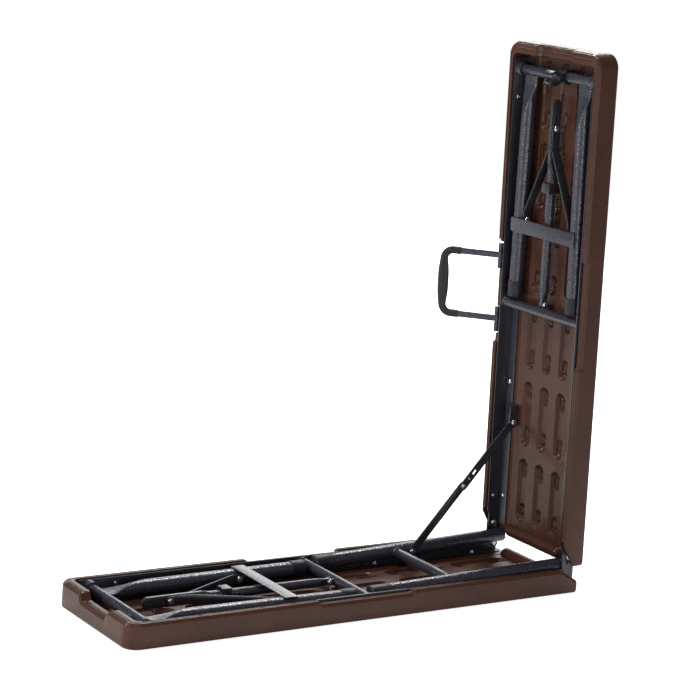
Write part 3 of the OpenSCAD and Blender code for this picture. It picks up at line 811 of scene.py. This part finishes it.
def soften(node, width):
    """Modifiers that take the edges off a CAD mesh without changing the mesh itself."""
    joined = node.modifiers.new("weld", "WELD")
    joined.merge_threshold = CAD_SAME_POINT
    flats = node.modifiers.new("merge_flats", "DECIMATE")
    flats.decimate_type = "DISSOLVE"
    flats.angle_limit = FLAT_WITHIN
    edges = node.modifiers.new("soft_edges", "BEVEL")
    edges.width = width
    edges.segments = 2
    edges.limit_method = "ANGLE"
    edges.angle_limit = BEVEL_FROM
    edges.harden_normals = True


look_of = {entry["node"]: entry["material_slot"] for entry in frame["record"]["subparts"]}
for name, node in frame["nodes"].items():
    if name in replaced:
        continue
    look = look_of[name]
    smooth_coat = look == "steel" and any(word in name for word in SMOOTH_COATED)
    node.data.materials.clear()
    node.data.materials.append(LOOKS["rail_steel" if smooth_coat else look])
    for polygon in node.data.polygons:
        polygon.use_smooth = True
        polygon.material_index = 0
    soften(node, SOFT_EDGES[look] * MM)


# ---------- studio ----------
FLOOR_REACH, FLOOR_DROP = 80.0, 0.0004    # the drop keeps the floor clear of the seat face
# place, target, size in metres and power in watts
LIGHTS = {
    "key": ((-3.1, 0.7, 1.1), (0.2, 0, 0.4), 0.7, 50),
    "top": ((-1.1, 0.2, 2.9), (0.1, 0, 0.2), 0.4, 40),
    "streak": ((1.3, 1.4, 2.6), (-0.4, 0, 0.05), 0.7, 60),
    "back": ((2.2, 3.5, 1.3), (-0.4, 0, 0.05), 2.8, 48),
    "low_fill": ((-0.5, -2.3, 0.5), (0.1, 0, 0.05), 0.9, 13),
}
CAMERA_PLACE = (-2.1385, -3.066, 1.219)
CAMERA_TURN = (34.92, 11.78, 5.13)        # degrees right of y, down and rolled
CAMERA_LENS, CAMERA_SENSOR = 116.33, 36


def area_light(name, place, target, size, power):
    light = bpy.data.lights.new(name, "AREA")
    light.shape = "DISK"
    light.size = size
    light.energy = power
    lamp = bpy.data.objects.new(name, light)
    lamp.location = place
    lamp.rotation_euler = (Vector(target) - Vector(place)).to_track_quat("-Z", "Y").to_euler()
    bpy.context.scene.collection.objects.link(lamp)


def sweep():
    """A plain floor that the camera can't see the end of."""
    mesh = bpy.data.meshes.new("studio_floor")
    r = FLOOR_REACH
    mesh.from_pydata([(-r, -r, 0), (r, -r, 0), (r, r, 0), (-r, r, 0)], [], [(0, 1, 2, 3)])
    mesh.materials.append(studio_floor())
    floor = bpy.data.objects.new("studio_floor", mesh)
    bpy.context.scene.collection.objects.link(floor)
    floor.location.z = -FLOOR_DROP


def surroundings():
    world = bpy.data.worlds.new("studio")
    world.use_nodes = True
    background = world.node_tree.nodes["Background"]
    background.inputs["Color"].default_value = (1, 1, 1, 1)
    glow_where_seen(world.node_tree, background.inputs["Strength"], seen=1.0, cast=0.2)
    bpy.context.scene.world = world


def camera():
    yaw, pitch, roll = (math.radians(a) for a in CAMERA_TURN)
    ahead = Vector((math.sin(yaw) * math.cos(pitch), math.cos(yaw) * math.cos(pitch), -math.sin(pitch)))
    right = Vector((math.cos(yaw), -math.sin(yaw), 0))
    up = right.cross(ahead)
    right_rolled = right * math.cos(roll) + up * math.sin(roll)
    up_rolled = up * math.cos(roll) - right * math.sin(roll)
    data = bpy.data.cameras.new("camera")
    data.lens = CAMERA_LENS
    data.sensor_width = CAMERA_SENSOR
    data.clip_end = 200
    eye = bpy.data.objects.new("camera", data)
    turn = Matrix((right_rolled, up_rolled, -ahead)).transposed().to_4x4()
    eye.matrix_world = Matrix.Translation(CAMERA_PLACE) @ turn
    bpy.context.scene.collection.objects.link(eye)
    bpy.context.scene.camera = eye


sweep()
surroundings()
for name, settings in LIGHTS.items():
    area_light(name, *settings)
camera()
bpy.context.scene.view_settings.view_transform = "Standard"
bpy.context.scene.view_settings.look = "None"
